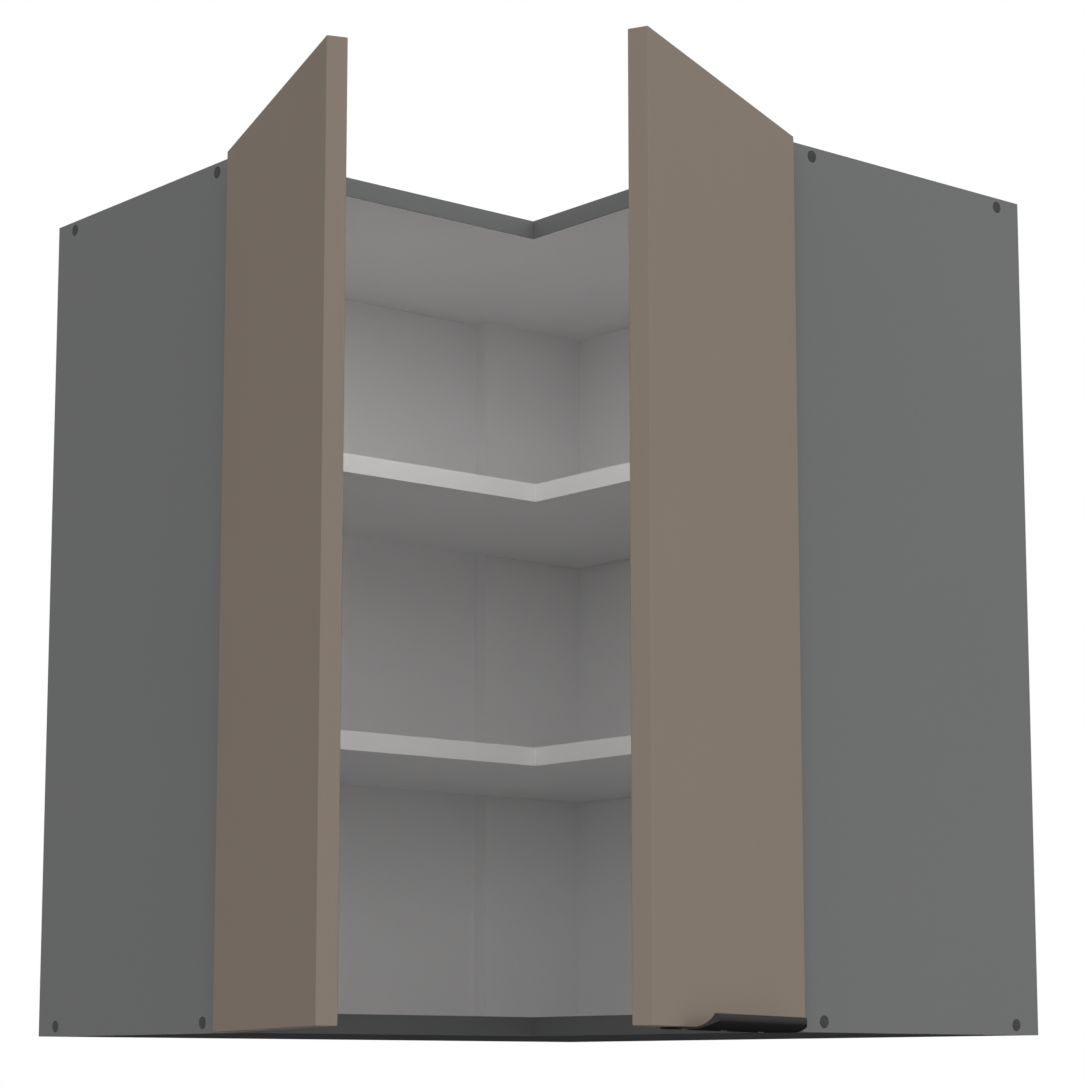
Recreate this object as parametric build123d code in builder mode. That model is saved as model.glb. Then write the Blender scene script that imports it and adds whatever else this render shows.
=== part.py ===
from build123d import *
from types import SimpleNamespace
import os

# Corner wall cabinet with an L-shaped plan, two open doors and two L-shaped shelves.
# Millimetres, +Z up. The origin is the corner of the room: the back wall is the plane
# y = 0, the left wall is the plane x = 0, and z = 0 is the underside of the carcass.
# One leg runs along each wall. Each leg ends in a side panel, which carries a door.

# Carcass
leg = 600.0               # length of each leg along its wall
depth = 289.0             # from the wall to the front edges
height = 716.0
board = 16.0              # laminated chipboard
band = 1.0                # edge banding on the front edges
band_play = 0.1           # between the bands of two boards
inside_end = leg - board  # inner face of each side panel, measured along its wall

# Back panels, in grooves in front of the wall
back_thickness = 3.0
back_gap = 10.0           # from the wall to the rear of a back panel
back_front = back_gap + back_thickness
back_bite = 7.0           # how far a back panel enters its groove
groove_depth = 8.0
groove_play = 0.1         # on each side of the back panel
corner_play = 0.2         # between the two back panels
stile_width = 120.0       # upright in the corner, in front of the left back panel
stile_row_offsets = (30.0, 90.0)   # its screws and dowels, from its end in the corner

# Shelves
lower_shelf = 233.3       # height of the underside
upper_shelf = 467.2
shelf_setback = 17.0      # behind the front edges of the carcass
shelf_corner = 2.5        # radius of the inner corner
shelf_play = 1.0          # all round

# Connecting screws of the boards, and their caps
screw_from_front = 37.0
screw_from_wall = 27.0
screw_length = 50.0
shank_radius = 3.5
thread_radius = 3.2
tip_length = 4.0
head_radius = 4.9
head_top = 0.9            # top and bottom of the head, under the surface of the board
head_bottom = 3.2
socket_radius = 2.3       # hexagon socket, over its corners
socket_floor = 0.6        # of the head, under the socket
tip_taper = 30.0
tip_blunt = 0.5
cap_radius = 5.0
cap_top = 0.1
loose = 0.05              # round a screw, dowel or pin
bore_end = 1.0            # between the end of a screw and the end of its bore

# Shelf pins and dowels
pin_radius = 2.5
pin_in_board = 9.0
pin_out = 8.0
pin_collar = 0.9
pin_collar_radius = 3.6
pin_from_wall = 60.0

# Doors
door_thickness = 16.0
door_height = 715.0
left_door_width = 296.7
right_door_width = 288.2
left_open = 110.0         # degrees open as drawn
right_open = 114.0
axis_inset = 2.0          # hinge axis inside the outer face of the side panel
axis_front = 2.8          # hinge axis in front of the carcass, on the door's inner face
door_edge = 0.6           # rounding of the door's edges

# Hinges: a cup in the door, an arm on the side panel, and one pin on the axis
hinge_heights = (100.0, 616.0)
cup_from_edge = 22.5
cup_radius = 17.4
cup_depth = 11.5
cup_wall = 1.2
cup_play = 0.1            # under the cup
flange = 1.0              # thickness of the cup's flange, on the door's inner face
flange_radius = 19.5
ear_offset = 24.0         # from the middle of a cup up and down to its screws
ear_radius = 5.5
ear_head_radius = 3.8
ear_head_height = 1.2
ear_head_taper = 30.0
knuckle_radius = 2.4
knuckle_half = 6.0        # half the height of the door's knuckle
barrel_half = 14.5        # half the height of all the knuckles
hinge_pin_radius = 1.25
pin_head = 0.6
pin_head_radius = 2.1
notch_gap = 0.45          # between the door and the barrel
strap = 1.2               # sheet thickness of the arm
strap_gap = 0.1           # between the arm and the front edge of the carcass
fork_reach = 12.5         # width of the arm's fork, from the axis
fork_gap = 0.3            # between the fork and the door's knuckle
fork_lap = 1.0            # of the fork over the arm's bend
arm_half = 7.5            # half the height of the arm
arm_stand = 7.2           # outside of the arm over the side panel
arm_reach = 52.0          # from the front edge along the side panel
arm_lift = 0.3            # between the arm's cheeks and the plate's wings
cheek_start = 6.0         # behind the front edge
plate_from_front = 37.0
plate_wing = (13.0, 44.0, 2.0)
plate_corner = 4.0
plate_spine = (34.0, 12.0, 4.5)
plate_screw_offset = 16.0
plate_head_radius = 4.0
plate_head_height = 1.8
plate_head_taper = 25.0
arm_screw_from_front = 46.0
arm_screw_radius = 2.2
arm_screw_end = 0.5       # from the side panel
arm_head_radius = 3.6
arm_head_height = 1.6
head_taper = 20.0

# Handle: an edge profile under the right door
handle_length = 192.0
handle_plate = 1.5
lip_reach = 24.3          # in front of the door's outer face
lip_hollow = 13.0         # radius of the hollow behind the lip
lip_start = 10.0          # where the hollow starts, in front of the door
lip_corner = 14.0         # rounding of the profile's two front corners, in plan
handle_screw_pitch = 72.0

# Wall hangers in the two upper rear corners
hanger_low = 640.0
hanger_high = 698.0
hanger_back = 9.5         # from the wall to the housing
hanger_front = 51.5
hanger_width = 17.5
hook_thickness = 2.0
hook_slot = (46.0, 668.0, 692.0)
hanger_cover = 1.2        # sheet thickness of the cover
cover_play = 0.3          # round the housing and its screws
cover_from_back = 0.5     # between the back panel and the cover
cover_lap = 0.5           # of the cover under the cut in the back panel
hanger_cut_play = (1.0, 3.0)   # of the cut beside and below the housing

os.makedirs("parts", exist_ok=True)


def save(piece, name):
    """Name a finished piece and write it."""
    piece.label = name
    export_step(piece, f"parts/{name}.step")


def span(x1, x2, y1, y2):
    """Rectangle between two x and two y values of the sketch being drawn."""
    with Locations(((x1 + x2) / 2, (y1 + y2) / 2)):
        Rectangle(abs(x2 - x1), abs(y2 - y1))


def discs(plane, places, radius):
    """Circles of one radius at several places of a plane."""
    with BuildSketch(plane) as drawn:
        with Locations(*places):
            Circle(radius)
    return drawn.sketch


def l_outline(back_x, back_y, front, end, corner=0.0):
    """L-shaped outline of a board. front and end are distances from the walls."""
    with BuildSketch() as outline:
        with BuildLine():
            Polyline((back_x, -back_y), (end, -back_y), (end, -front), (front, -front),
                     (front, -end), (back_x, -end), close=True)
        make_face()
        if corner:
            inner = outline.vertices().sort_by_distance((front, -front, 0))[0]
            fillet(inner, radius=corner)
    return outline.sketch


def make_side(name, way, end_origin, end_x, end_out, axis_place, inward, turn, width, front):
    """Planes of one end of the cabinet.

    end lies on the outer face of the side panel: local x runs along the depth of the
    panel, from the wall when multiplied by way, and local y is up. rest and door are
    level and have the hinge axis at their origin: local x leads to the far side of the
    closed door, or along the open door, and local y times front leads outwards.
    """
    end = Plane(origin=end_origin, x_dir=end_x, z_dir=end_out)
    rest = Plane(origin=axis_place, x_dir=inward, z_dir=(0, 0, 1))
    along = Vector(*inward).rotate(Axis.Z, turn)
    door = Plane(origin=axis_place, x_dir=along, z_dir=(0, 0, 1))
    return SimpleNamespace(name=name, way=way, end=end, inner=end.offset(-board), rest=rest,
                           door=door, width=width, front=front)


right = make_side("right", -1, (leg, 0, 0), (0, 1, 0), (1, 0, 0),
                  (leg - axis_inset, -depth - axis_front, 0), (-1, 0, 0), right_open,
                  right_door_width, 1)
left = make_side("left", 1, (0, -leg, 0), (1, 0, 0), (0, -1, 0),
                 (depth + axis_front, axis_inset - leg, 0), (0, 1, 0), -left_open,
                 left_door_width, -1)
sides = (left, right)


def spots(side, from_wall, heights):
    """Places on a face of a side panel, from distances to the wall and heights."""
    return [(side.way * away, up) for away in from_wall for up in heights]


def upright(side, near, far, low, high):
    """Rectangle on a face of a side panel, from distances to the wall and heights."""
    span(side.way * near, side.way * far, low, high)


def level(side, x1, x2, y1, y2):
    """Rectangle on a level hinge plane, with y measured outwards."""
    span(x1, x2, side.front * y1, side.front * y2)


def door_back(side, along, up):
    """Plane on the inner face of the open door, facing the side that is inside when shut."""
    origin = side.door.origin + side.door.x_dir * along + Vector(0, 0, up)
    return Plane(origin=origin, x_dir=side.door.x_dir, z_dir=side.door.y_dir * -side.front)


def facing_front(side, away, inside, up):
    """Plane that faces the front of a leg, placed from its wall and its side panel."""
    forward = side.end.x_dir * side.way
    origin = side.inner.origin + forward * away - side.end.z_dir * inside + Vector(0, 0, up)
    return Plane(origin=origin, x_dir=side.end.z_dir, z_dir=forward)


# Side panels: drilled for the connecting screws, shelf pins, hinge plates and hangers,
# and grooved for the back panel.
screw_rows = (screw_from_wall, depth - screw_from_front)
screw_heights = (board / 2, height - board / 2)
pin_rows = (pin_from_wall, depth - screw_from_front)
pin_heights = (lower_shelf - pin_radius, upper_shelf - pin_radius)
plate_row = depth - plate_from_front
plate_screw_heights = [up + way * plate_screw_offset for up in hinge_heights for way in (-1, 1)]
plate_screw_bite = 11.0
hanger_screw_rows = (20.0, 42.0)
hanger_screw_height = hanger_low + 12.0
hanger_screw_radius = 2.0
hanger_screw_bite = 12.0

for side in sides:
    with BuildPart() as side_panel:
        with BuildSketch(side.end):
            upright(side, 0, depth - band, 0, height)
        extrude(amount=-board)
        with Locations(side.end):
            with Locations(*spots(side, screw_rows, screw_heights)):
                CounterBoreHole(radius=shank_radius + loose, counter_bore_radius=cap_radius,
                                counter_bore_depth=head_bottom, depth=board)
        with BuildSketch(side.inner):
            upright(side, back_gap - groove_play, back_front + groove_play, 0, height)
        extrude(amount=groove_depth, mode=Mode.SUBTRACT)
        extrude(discs(side.inner, spots(side, pin_rows, pin_heights), pin_radius),
                amount=pin_in_board, mode=Mode.SUBTRACT)
        extrude(discs(side.inner, spots(side, [plate_row], plate_screw_heights), pin_radius),
                amount=plate_screw_bite, mode=Mode.SUBTRACT)
        extrude(discs(side.inner, spots(side, hanger_screw_rows, [hanger_screw_height]),
                      hanger_screw_radius + loose), amount=hanger_screw_bite, mode=Mode.SUBTRACT)
    save(side_panel.part, f"{side.name}_side_panel")

# Top and bottom panels: L-shaped boards between the side panels, grooved for the back
# panels, and bored for the screws into their ends and down into the corner stile.
panel_core = l_outline(0, 0, depth - band, inside_end)
stile_middle = back_front + board / 2
stile_face = back_front + board
stile_rows = [back_front + offset for offset in stile_row_offsets]
stile_screw_places = [(stile_middle, -away) for away in stile_rows]
groove_near = back_gap - groove_play
groove_far = back_front + groove_play

for name, base, outer, inner, inward in (("bottom_panel", 0.0, 0.0, board, 1),
                                         ("top_panel", height - board, height,
                                          height - board, -1)):
    outer_plane = Plane.XY.offset(outer)
    with BuildPart() as level_panel:
        with BuildSketch(Plane.XY.offset(base)):
            add(panel_core)
        extrude(amount=board)
        with BuildSketch(Plane.XY.offset(inner)):
            span(groove_near, groove_far, -groove_near, -leg)
            span(groove_near, leg, -groove_near, -groove_far)
        extrude(amount=-inward * groove_depth, mode=Mode.SUBTRACT)
        for side in sides:
            ends = discs(side.inner, spots(side, screw_rows, [base + board / 2]),
                         thread_radius + loose)
            extrude(ends, amount=-(screw_length - board), mode=Mode.SUBTRACT)
        extrude(discs(outer_plane, stile_screw_places, shank_radius + loose),
                amount=inward * board, mode=Mode.SUBTRACT)
        extrude(discs(outer_plane, stile_screw_places, cap_radius),
                amount=inward * head_bottom, mode=Mode.SUBTRACT)
    save(level_panel.part, name)

# Edge bands of the carcass: an L-shaped strip on the top panel and on the bottom panel,
# and a straight strip on each side panel.
with BuildSketch() as panel_band:
    add(l_outline(0, 0, depth, inside_end - band_play))
    add(l_outline(0, 0, depth - band, inside_end), mode=Mode.SUBTRACT)
with BuildPart() as carcass_edge_bands:
    for base in (0.0, height - board):
        with BuildSketch(Plane.XY.offset(base)):
            add(panel_band.sketch)
        extrude(amount=board)
    for side in sides:
        with BuildSketch(side.end):
            upright(side, depth - band, depth, 0, height)
        extrude(amount=-board)
save(carcass_edge_bands.part, "carcass_edge_bands")

# Corner stile: a narrow upright in the rear corner, which stiffens the back panels and
# carries the corner of each shelf on dowels.
dowel_heights = (lower_shelf + board / 2, upper_shelf + board / 2)
dowel_places = [(-away, up) for away in stile_rows for up in dowel_heights]
back_screw_heights = (104.0, 274.0, 444.0, 614.0)
left_back_middle = (-back_front - stile_width / 2, Plane.YZ)
right_back_middle = (stile_middle, Plane.XZ)
back_screw_radius = 1.5
back_screw_bite = 13.0
with BuildPart() as corner_stile:
    with BuildSketch(Plane.XY.offset(board)):
        span(back_front, stile_face, -back_front, -back_front - stile_width)
    extrude(amount=height - 2 * board)
    for end_height, inward in ((board, 1), (height - board, -1)):
        extrude(discs(Plane.XY.offset(end_height), stile_screw_places, thread_radius + loose),
                amount=inward * (screw_length - board), mode=Mode.SUBTRACT)
    extrude(discs(Plane.YZ.offset(stile_face), dowel_places, pin_radius),
            amount=-pin_in_board, mode=Mode.SUBTRACT)
    for middle, plane in (left_back_middle, right_back_middle):
        extrude(discs(plane.offset(back_front), [(middle, up) for up in back_screw_heights],
                      back_screw_radius), amount=back_screw_bite, mode=Mode.SUBTRACT)
save(corner_stile.part, "corner_stile")

# Back panels: thin hardboard in the grooves, each with its upper outer corner cut away
# for the wall hanger. The left one reaches into the corner and the right one stops at it.
back_low = board - back_bite
back_high = height - board + back_bite
back_end = inside_end + back_bite
hanger_cut = inside_end - hanger_width - hanger_cut_play[0]
hanger_cut_low = hanger_low - hanger_cut_play[1]
for name, (middle, plane), way, near in (
        ("left_back_panel", left_back_middle, -1, back_gap),
        ("right_back_panel", right_back_middle, 1, back_front + corner_play)):
    with BuildPart() as back_panel:
        with BuildSketch(plane.offset(back_gap)):
            span(way * near, way * back_end, back_low, back_high)
            with Locations(*[(middle, up) for up in back_screw_heights]):
                Circle(back_screw_radius + loose, mode=Mode.SUBTRACT)
        extrude(amount=back_thickness)
        with BuildSketch(plane.offset(back_gap)):
            span(way * hanger_cut, way * back_end, hanger_cut_low, back_high)
        extrude(amount=back_thickness, mode=Mode.SUBTRACT)
    save(back_panel.part, name)

# Back panel screws: round heads behind each back panel, and threads in the stile.
back_head_radius = 3.2
back_head_height = 1.6
with BuildPart() as back_panel_screws:
    for middle, plane in (left_back_middle, right_back_middle):
        places = [(middle, up) for up in back_screw_heights]
        extrude(discs(plane.offset(back_gap), places, back_screw_radius),
                amount=back_thickness + back_screw_bite - bore_end)
        extrude(discs(plane.offset(back_gap), places, back_head_radius),
                amount=-back_head_height, taper=head_taper)
save(back_panel_screws.part, "back_panel_screws")

# Shelves: L-shaped boards with a banded front edge. The left leg of a shelf stops at the
# stile, where it sits on dowels, and the right leg reaches the back panel.
shelf_front = depth - shelf_setback
shelf_end = inside_end - shelf_play
shelf_back = (stile_face + shelf_play, back_front + shelf_play)
shelf_core = l_outline(*shelf_back, shelf_front - band, shelf_end, shelf_corner + band)
shelf_whole = l_outline(*shelf_back, shelf_front, shelf_end, shelf_corner)
with BuildSketch() as shelf_band:
    add(shelf_whole)
    add(shelf_core, mode=Mode.SUBTRACT)
for name, base in (("lower_shelf", lower_shelf), ("upper_shelf", upper_shelf)):
    dowels = [(-away, base + board / 2) for away in stile_rows]
    with BuildPart() as shelf:
        with BuildSketch(Plane.XY.offset(base)):
            add(shelf_core)
        extrude(amount=board)
        extrude(discs(Plane.YZ.offset(shelf_back[0]), dowels, pin_radius + loose),
                amount=pin_out, mode=Mode.SUBTRACT)
    save(shelf.part, name)

    with BuildPart() as shelf_edge_band:
        with BuildSketch(Plane.XY.offset(base)):
            add(shelf_band.sketch)
        extrude(amount=board)
    save(shelf_edge_band.part, f"{name}_edge_band")

    # Shelf pins: two with a collar in each side panel, and two dowels in the stile.
    with BuildPart() as shelf_pins:
        for side in sides:
            places = spots(side, pin_rows, [base - pin_radius])
            extrude(discs(side.inner.offset(pin_in_board), places, pin_radius),
                    amount=-pin_in_board - pin_out)
            extrude(discs(side.inner, places, pin_collar_radius), amount=-pin_collar)
        extrude(discs(Plane.YZ.offset(stile_face - pin_in_board), dowels, pin_radius),
                amount=pin_in_board + pin_out)
    save(shelf_pins.part, f"{name}_pins")

# Connecting screws: thick screws with a flat head and a hexagon socket. Eight go through
# the side panels, and four through the top and bottom panels into the stile.
underside = Plane(origin=(0, 0, 0), x_dir=(1, 0, 0), z_dir=(0, 0, -1))
end_groups = [(side.end, spots(side, screw_rows, screw_heights)) for side in sides]
stile_groups = [(Plane.XY.offset(height), stile_screw_places),
                (underside, [(x, -y) for x, y in stile_screw_places])]
for name, groups in (("connecting", end_groups), ("stile", stile_groups)):
    with BuildPart() as screws:
        for plane, places in groups:
            for radius, near, far in ((head_radius, head_top, head_bottom),
                                      (shank_radius, head_bottom, board),
                                      (thread_radius, board, screw_length - tip_length)):
                extrude(discs(plane.offset(-near), places, radius), amount=near - far)
            extrude(discs(plane.offset(tip_length - screw_length), places, thread_radius),
                    amount=tip_blunt - tip_length, taper=tip_taper)
            with BuildSketch(plane.offset(-head_top)):
                with Locations(*places):
                    RegularPolygon(socket_radius, 6)
            extrude(amount=head_top - head_bottom + socket_floor, mode=Mode.SUBTRACT)
    save(screws.part, f"{name}_screws")

    # Caps: thin discs over the screw heads, just under the surface of the board.
    with BuildPart() as caps:
        for plane, places in groups:
            extrude(discs(plane.offset(-cap_top), places, cap_radius - loose),
                    amount=cap_top - head_top)
    save(caps.part, f"{name}_screw_caps")

# Wall hangers: a housing on the side panel in each upper rear corner, and a steel hook
# that reaches through the back panel's cut corner to the rail on the wall.
hook_inside = (hanger_width - hook_thickness) / 2
adjuster_heights = (675.0, 686.0)
adjuster_radius = 2.0
adjuster_head_radius = 3.0
adjuster_head = 1.5
access_radius = 3.5
fixing_head_radius = 3.6
fixing_head = 2.2
hook_rear = 44.0
hook_top = 690.0
hook_root = 684.0
hook_tip = 675.0
hook_lip = (1.6, 4.2)
hook_neck = 13.2          # from the wall to the part that fills the slot
hook_play = 0.5           # under the hook in its slot
for side in sides:
    housing_face = side.inner.offset(-hanger_width)
    fixings = spots(side, hanger_screw_rows, [hanger_screw_height])
    with BuildPart() as hanger:
        with BuildSketch(side.inner):
            upright(side, hanger_back, hanger_front, hanger_low, hanger_high)
        extrude(amount=-hanger_width)
        with BuildSketch(side.inner.offset(groove_play - hook_inside)):
            upright(side, hanger_back, *hook_slot)
        extrude(amount=-hook_thickness - 2 * groove_play, mode=Mode.SUBTRACT)
        for up in adjuster_heights:
            bore = discs(facing_front(side, hanger_front, hanger_width / 2, up), [(0, 0)],
                         adjuster_radius + loose)
            extrude(bore, amount=hook_rear - hanger_front, mode=Mode.SUBTRACT)
        extrude(discs(housing_face, fixings, hanger_screw_radius + loose),
                amount=hanger_width, mode=Mode.SUBTRACT)
        extrude(discs(housing_face, fixings, fixing_head_radius + loose),
                amount=fixing_head, mode=Mode.SUBTRACT)
    save(hanger.part, f"{side.name}_hanger")

    with BuildPart() as hook:
        with BuildSketch(side.inner.offset(-hook_inside)):
            upright(side, hook_neck, hook_rear, hook_slot[1] + hook_play, hook_top)
            upright(side, hook_lip[0], hook_rear, hook_root, hook_top)
            upright(side, *hook_lip, hook_tip, hook_top)
        extrude(amount=-hook_thickness)
    save(hook.part, f"{side.name}_hanger_hook")

    # Hanger screws: two adjusting screws that bear on the hook, and two fixing screws.
    with BuildPart() as hanger_screws:
        for up in adjuster_heights:
            front_face = facing_front(side, hanger_front, hanger_width / 2, up)
            extrude(discs(front_face, [(0, 0)], adjuster_radius), amount=hook_rear - hanger_front)
            extrude(discs(front_face, [(0, 0)], adjuster_head_radius), amount=adjuster_head)
        extrude(discs(housing_face, fixings, fixing_head_radius), amount=fixing_head)
        extrude(discs(housing_face, fixings, hanger_screw_radius),
                amount=hanger_width + hanger_screw_bite - bore_end)
    save(hanger_screws.part, f"{side.name}_hanger_screws")

    # Hanger cover: a thin cap over the housing, with two holes for a screwdriver.
    cover_front = hanger_front + adjuster_head + cover_play + hanger_cover
    cover_low = hanger_cut_low - cover_lap
    cover_high = height - board - cover_play
    with BuildPart() as cover:
        with BuildSketch(side.inner):
            upright(side, back_front + cover_from_back, cover_front, cover_low, cover_high)
        extrude(amount=-hanger_width - cover_play - hanger_cover)
        with BuildSketch(side.inner):
            upright(side, 0, cover_front - hanger_cover, cover_low + hanger_cover,
                    cover_high - hanger_cover)
        extrude(amount=-hanger_width - cover_play, mode=Mode.SUBTRACT)
        for up in adjuster_heights:
            window = discs(facing_front(side, cover_front, hanger_width / 2, up), [(0, 0)],
                           access_radius)
            extrude(window, amount=-hanger_cover, mode=Mode.SUBTRACT)
    save(cover.part, f"{side.name}_hanger_cover")

# Doors, standing open: flat boards with rounded edges, bored for the hinge cups and
# notched at the hinge edge for the barrels.
ear_screw_radius = 2.0
ear_screw_bite = 11.0
ear_places = [(0, ear_offset), (0, -ear_offset)]
barrel_end = barrel_half + pin_head
notch_half = barrel_end + notch_gap
handle_screw_radius = 1.75
handle_screw_bite = 12.0
handle_middle = right_door_width / 2
handle_screw_places = [(handle_middle + way * handle_screw_pitch, door_thickness / 2)
                       for way in (-1, 0, 1)]
for side in sides:
    with BuildPart() as door:
        with BuildSketch(side.door):
            level(side, 0, side.width, 0, door_thickness)
        extrude(amount=door_height)
        fillet(door.edges(), radius=door_edge)
        for up in hinge_heights:
            cup_place = door_back(side, cup_from_edge, up)
            extrude(discs(cup_place, [(0, 0)], cup_radius + loose),
                    amount=-cup_depth - cup_play, mode=Mode.SUBTRACT)
            extrude(discs(cup_place, ear_places, ear_screw_radius + loose),
                    amount=-ear_screw_bite, mode=Mode.SUBTRACT)
            extrude(discs(side.door.offset(up - notch_half), [(0, 0)],
                          knuckle_radius + notch_gap),
                    amount=2 * notch_half, mode=Mode.SUBTRACT)
        if side is right:
            extrude(discs(side.door, handle_screw_places, handle_screw_radius + loose),
                    amount=handle_screw_bite, mode=Mode.SUBTRACT)
    save(door.part, f"{side.name}_door_panel")

# Hinge cups: pressed steel pots in the doors, with a flange on the door's inner face and
# a tongue that is rolled into the middle knuckle.
for side in sides:
    with BuildPart() as hinge_cups:
        for up in hinge_heights:
            cup_place = door_back(side, cup_from_edge, up)
            with BuildSketch(cup_place):
                Circle(flange_radius)
                with Locations(*ear_places):
                    Circle(ear_radius)
                span(-ear_radius, ear_radius, -ear_offset, ear_offset)
                span(-cup_from_edge, 0, -knuckle_half, knuckle_half)
            extrude(amount=flange)
            extrude(discs(cup_place, [(0, 0)], cup_radius), amount=-cup_depth)
            extrude(discs(cup_place.offset(flange), [(0, 0)], cup_radius - cup_wall),
                    amount=cup_wall - cup_depth - flange, mode=Mode.SUBTRACT)
            barrel_low = side.door.offset(up - knuckle_half)
            extrude(discs(barrel_low, [(0, 0)], knuckle_radius), amount=2 * knuckle_half)
            extrude(discs(barrel_low, [(0, 0)], hinge_pin_radius + loose),
                    amount=2 * knuckle_half, mode=Mode.SUBTRACT)
            extrude(discs(cup_place.offset(flange), ear_places, ear_screw_radius + loose),
                    amount=-flange, mode=Mode.SUBTRACT)
    save(hinge_cups.part, f"{side.name}_hinge_cups")

    with BuildPart() as cup_screws:
        for up in hinge_heights:
            flange_face = door_back(side, cup_from_edge, up).offset(flange)
            extrude(discs(flange_face, ear_places, ear_screw_radius),
                    amount=bore_end - flange - ear_screw_bite)
            extrude(discs(flange_face, ear_places, ear_head_radius), amount=ear_head_height,
                    taper=ear_head_taper)
    save(cup_screws.part, f"{side.name}_cup_screws")

# Hinge arms: folded steel. The fork carries the two outer knuckles and passes the front
# edge of the side panel, and the channel lies over the mounting plate inside.
face_x = board - axis_inset
edge_y = -axis_front
arm_x = face_x + arm_stand
strap_front = edge_y + strap_gap + strap
for side in sides:
    with BuildPart() as hinge_arms:
        for up in hinge_heights:
            with BuildSketch(side.rest.offset(up - barrel_half)):
                level(side, 0, fork_reach, strap_front - strap, strap_front)
                Circle(knuckle_radius)
            extrude(amount=2 * barrel_half)
            with BuildSketch(side.rest.offset(up - knuckle_half - fork_gap)):
                level(side, -knuckle_radius, knuckle_radius + fork_gap, -knuckle_radius - fork_gap,
                      knuckle_radius)
            extrude(amount=2 * (knuckle_half + fork_gap), mode=Mode.SUBTRACT)
            with BuildSketch(side.rest.offset(up - arm_half)):
                level(side, fork_reach - fork_lap, arm_x, strap_front - strap, strap_front)
                level(side, arm_x - strap, arm_x, edge_y - arm_reach, strap_front)
            extrude(amount=2 * arm_half)
            for low in (up - arm_half, up + arm_half - strap):
                with BuildSketch(side.rest.offset(low)):
                    level(side, face_x + plate_wing[2] + arm_lift, arm_x, edge_y - arm_reach,
                          edge_y - cheek_start)
                extrude(amount=strap)
            extrude(discs(side.rest.offset(up - barrel_half), [(0, 0)], hinge_pin_radius + loose),
                    amount=2 * barrel_half, mode=Mode.SUBTRACT)
        extrude(discs(side.inner.offset(-arm_stand),
                      spots(side, [depth - arm_screw_from_front], hinge_heights),
                      arm_screw_radius + loose), amount=strap, mode=Mode.SUBTRACT)
    save(hinge_arms.part, f"{side.name}_hinge_arms")

    # Hinge plates: a cross on the side panel, with two screws and a spine for the arm.
    plate_places = spots(side, [plate_row], hinge_heights)
    plate_screw_places = spots(side, [plate_row], plate_screw_heights)
    arm_screw_places = spots(side, [depth - arm_screw_from_front], hinge_heights)
    with BuildPart() as hinge_plates:
        with BuildSketch(side.inner):
            with Locations(*plate_places):
                RectangleRounded(plate_wing[0], plate_wing[1], plate_corner)
        extrude(amount=-plate_wing[2])
        with BuildSketch(side.inner):
            with Locations(*plate_places):
                Rectangle(plate_spine[0], plate_spine[1])
        extrude(amount=-plate_spine[2])
        extrude(discs(side.inner, plate_screw_places, pin_radius), amount=-plate_wing[2],
                mode=Mode.SUBTRACT)
        extrude(discs(side.inner, arm_screw_places, arm_screw_radius + loose),
                amount=-plate_spine[2], mode=Mode.SUBTRACT)
    save(hinge_plates.part, f"{side.name}_hinge_plates")

    # Hinge screws: the plates' screws into the side panel, and one through each arm.
    with BuildPart() as plate_screws:
        extrude(discs(side.inner.offset(-plate_wing[2]), plate_screw_places, pin_radius - loose),
                amount=plate_wing[2] + plate_screw_bite - bore_end)
        extrude(discs(side.inner.offset(-plate_wing[2]), plate_screw_places, plate_head_radius),
                amount=-plate_head_height, taper=plate_head_taper)
    save(plate_screws.part, f"{side.name}_plate_screws")

    with BuildPart() as arm_screws:
        arm_face = side.inner.offset(-arm_stand)
        extrude(discs(arm_face, arm_screw_places, arm_screw_radius),
                amount=arm_stand - arm_screw_end)
        extrude(discs(arm_face, arm_screw_places, arm_head_radius), amount=-arm_head_height,
                taper=head_taper)
    save(arm_screws.part, f"{side.name}_arm_screws")

    # Hinge pins: one through the three knuckles of each hinge, with a rivet head at each end.
    with BuildPart() as hinge_pins:
        for up in hinge_heights:
            low_end = side.rest.offset(up - barrel_end)
            extrude(discs(low_end, [(0, 0)], hinge_pin_radius), amount=2 * barrel_end)
            extrude(discs(low_end, [(0, 0)], pin_head_radius), amount=pin_head)
            extrude(discs(side.rest.offset(up + barrel_half), [(0, 0)], pin_head_radius),
                    amount=pin_head)
    save(hinge_pins.part, f"{side.name}_hinge_pins")

# Door bumpers: clear pads near the free edge, which meet the front of the carcass.
bumper_radius = 4.0
bumper_thickness = 2.2
bumper_from_edge = 12.0
bumper_taper = 12.0
for side in sides:
    with BuildPart() as door_bumpers:
        for up in screw_heights:
            extrude(discs(door_back(side, side.width - bumper_from_edge, up), [(0, 0)],
                          bumper_radius), amount=bumper_thickness, taper=bumper_taper)
    save(door_bumpers.part, f"{side.name}_door_bumpers")

# Handle: an extruded profile on the bottom edge of the right door. A thin plate lies under
# the door, and the lip in front of it curls up for the fingers.
lip_base = door_thickness + lip_start
lip_front = door_thickness + lip_reach
lip_across = 12.5         # from the start of the hollow to the tip
nose_height = 5.2
nose_top = (0.3, 2.4)     # points of the rounding: how far behind and over or under the nose
nose_low = (0.4, 1.2)
nose_end = (1.2, 2.0)
nose_belly = (5.0, 4.2)
hollow_run = 7.15         # from the start of the hollow to a point on it
hollow_middle = (lip_base + hollow_run, lip_hollow - (lip_hollow ** 2 - hollow_run ** 2) ** 0.5)
lip_tip = (lip_base + lip_across, lip_hollow - (lip_hollow ** 2 - lip_across ** 2) ** 0.5)
nose = (lip_front, nose_height)
over = (lip_front - nose_top[0], nose_height + nose_top[1])
under = (lip_front - nose_low[0], nose_height - nose_low[1])
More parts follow.
